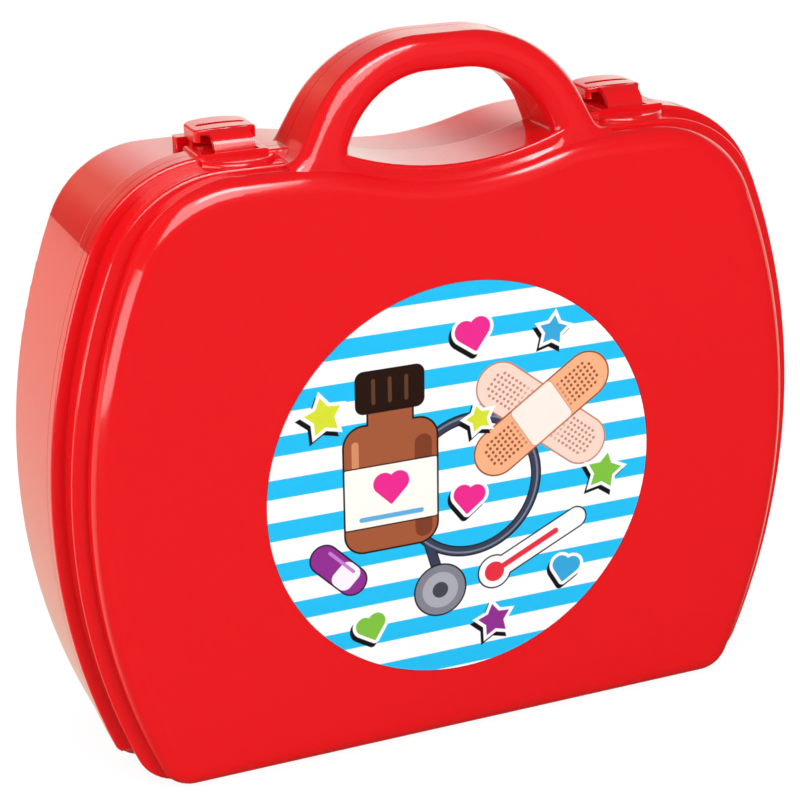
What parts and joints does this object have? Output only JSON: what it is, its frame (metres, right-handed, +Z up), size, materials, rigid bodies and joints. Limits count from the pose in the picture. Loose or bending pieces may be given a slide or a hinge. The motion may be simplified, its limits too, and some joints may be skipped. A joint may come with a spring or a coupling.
{
  "type": "toy doctor case",
  "caption": "Hinged red plastic toy carrying case with a two-part moulded loop handle, top latches that swing up and a round front label.",
  "frame": {"origin": "under the middle of the case, on the surface that it stands on", "axes": "+Z up, -Y towards the labelled front, +X to the right seen from the front"},
  "size_m": [0.2802, 0.075, 0.2514],
  "materials": {
    "red_plastic": "glossy injection-moulded",
    "red_plastic_latch": "glossy injection-moulded",
    "steel_pin": "drawn wire",
    "printed_label": "satin printed film"
  },
  "bodies": {
    "rear": {"rear_shell": "red_plastic", "hinge_pin_left": "steel_pin", "hinge_pin_right": "steel_pin", "latch_pin_left": "steel_pin", "latch_pin_right": "steel_pin"},
    "front": {"front_shell": "red_plastic", "front_label": "printed_label"},
    "left_latch": {"latch_left": "red_plastic_latch"},
    "right_latch": {"latch_right": "red_plastic_latch"}
  },
  "joints": [
    {"name": "lid_hinge", "type": "hinge", "parent": "rear", "child": "front", "pos_m": [0, -0.0132, 0.0036], "axis": [1, 0, 0], "range_deg": [0, 120]},
    {"name": "left_latch_hinge", "type": "hinge", "parent": "rear", "child": "left_latch", "pos_m": [-0.0712, 0.0043, 0.2193], "axis": [-1, 0, 0], "range_deg": [0, 110]},
    {"name": "right_latch_hinge", "type": "hinge", "parent": "rear", "child": "right_latch", "pos_m": [0.0712, 0.0043, 0.2193], "axis": [-1, 0, 0], "range_deg": [0, 110]}
  ]
}
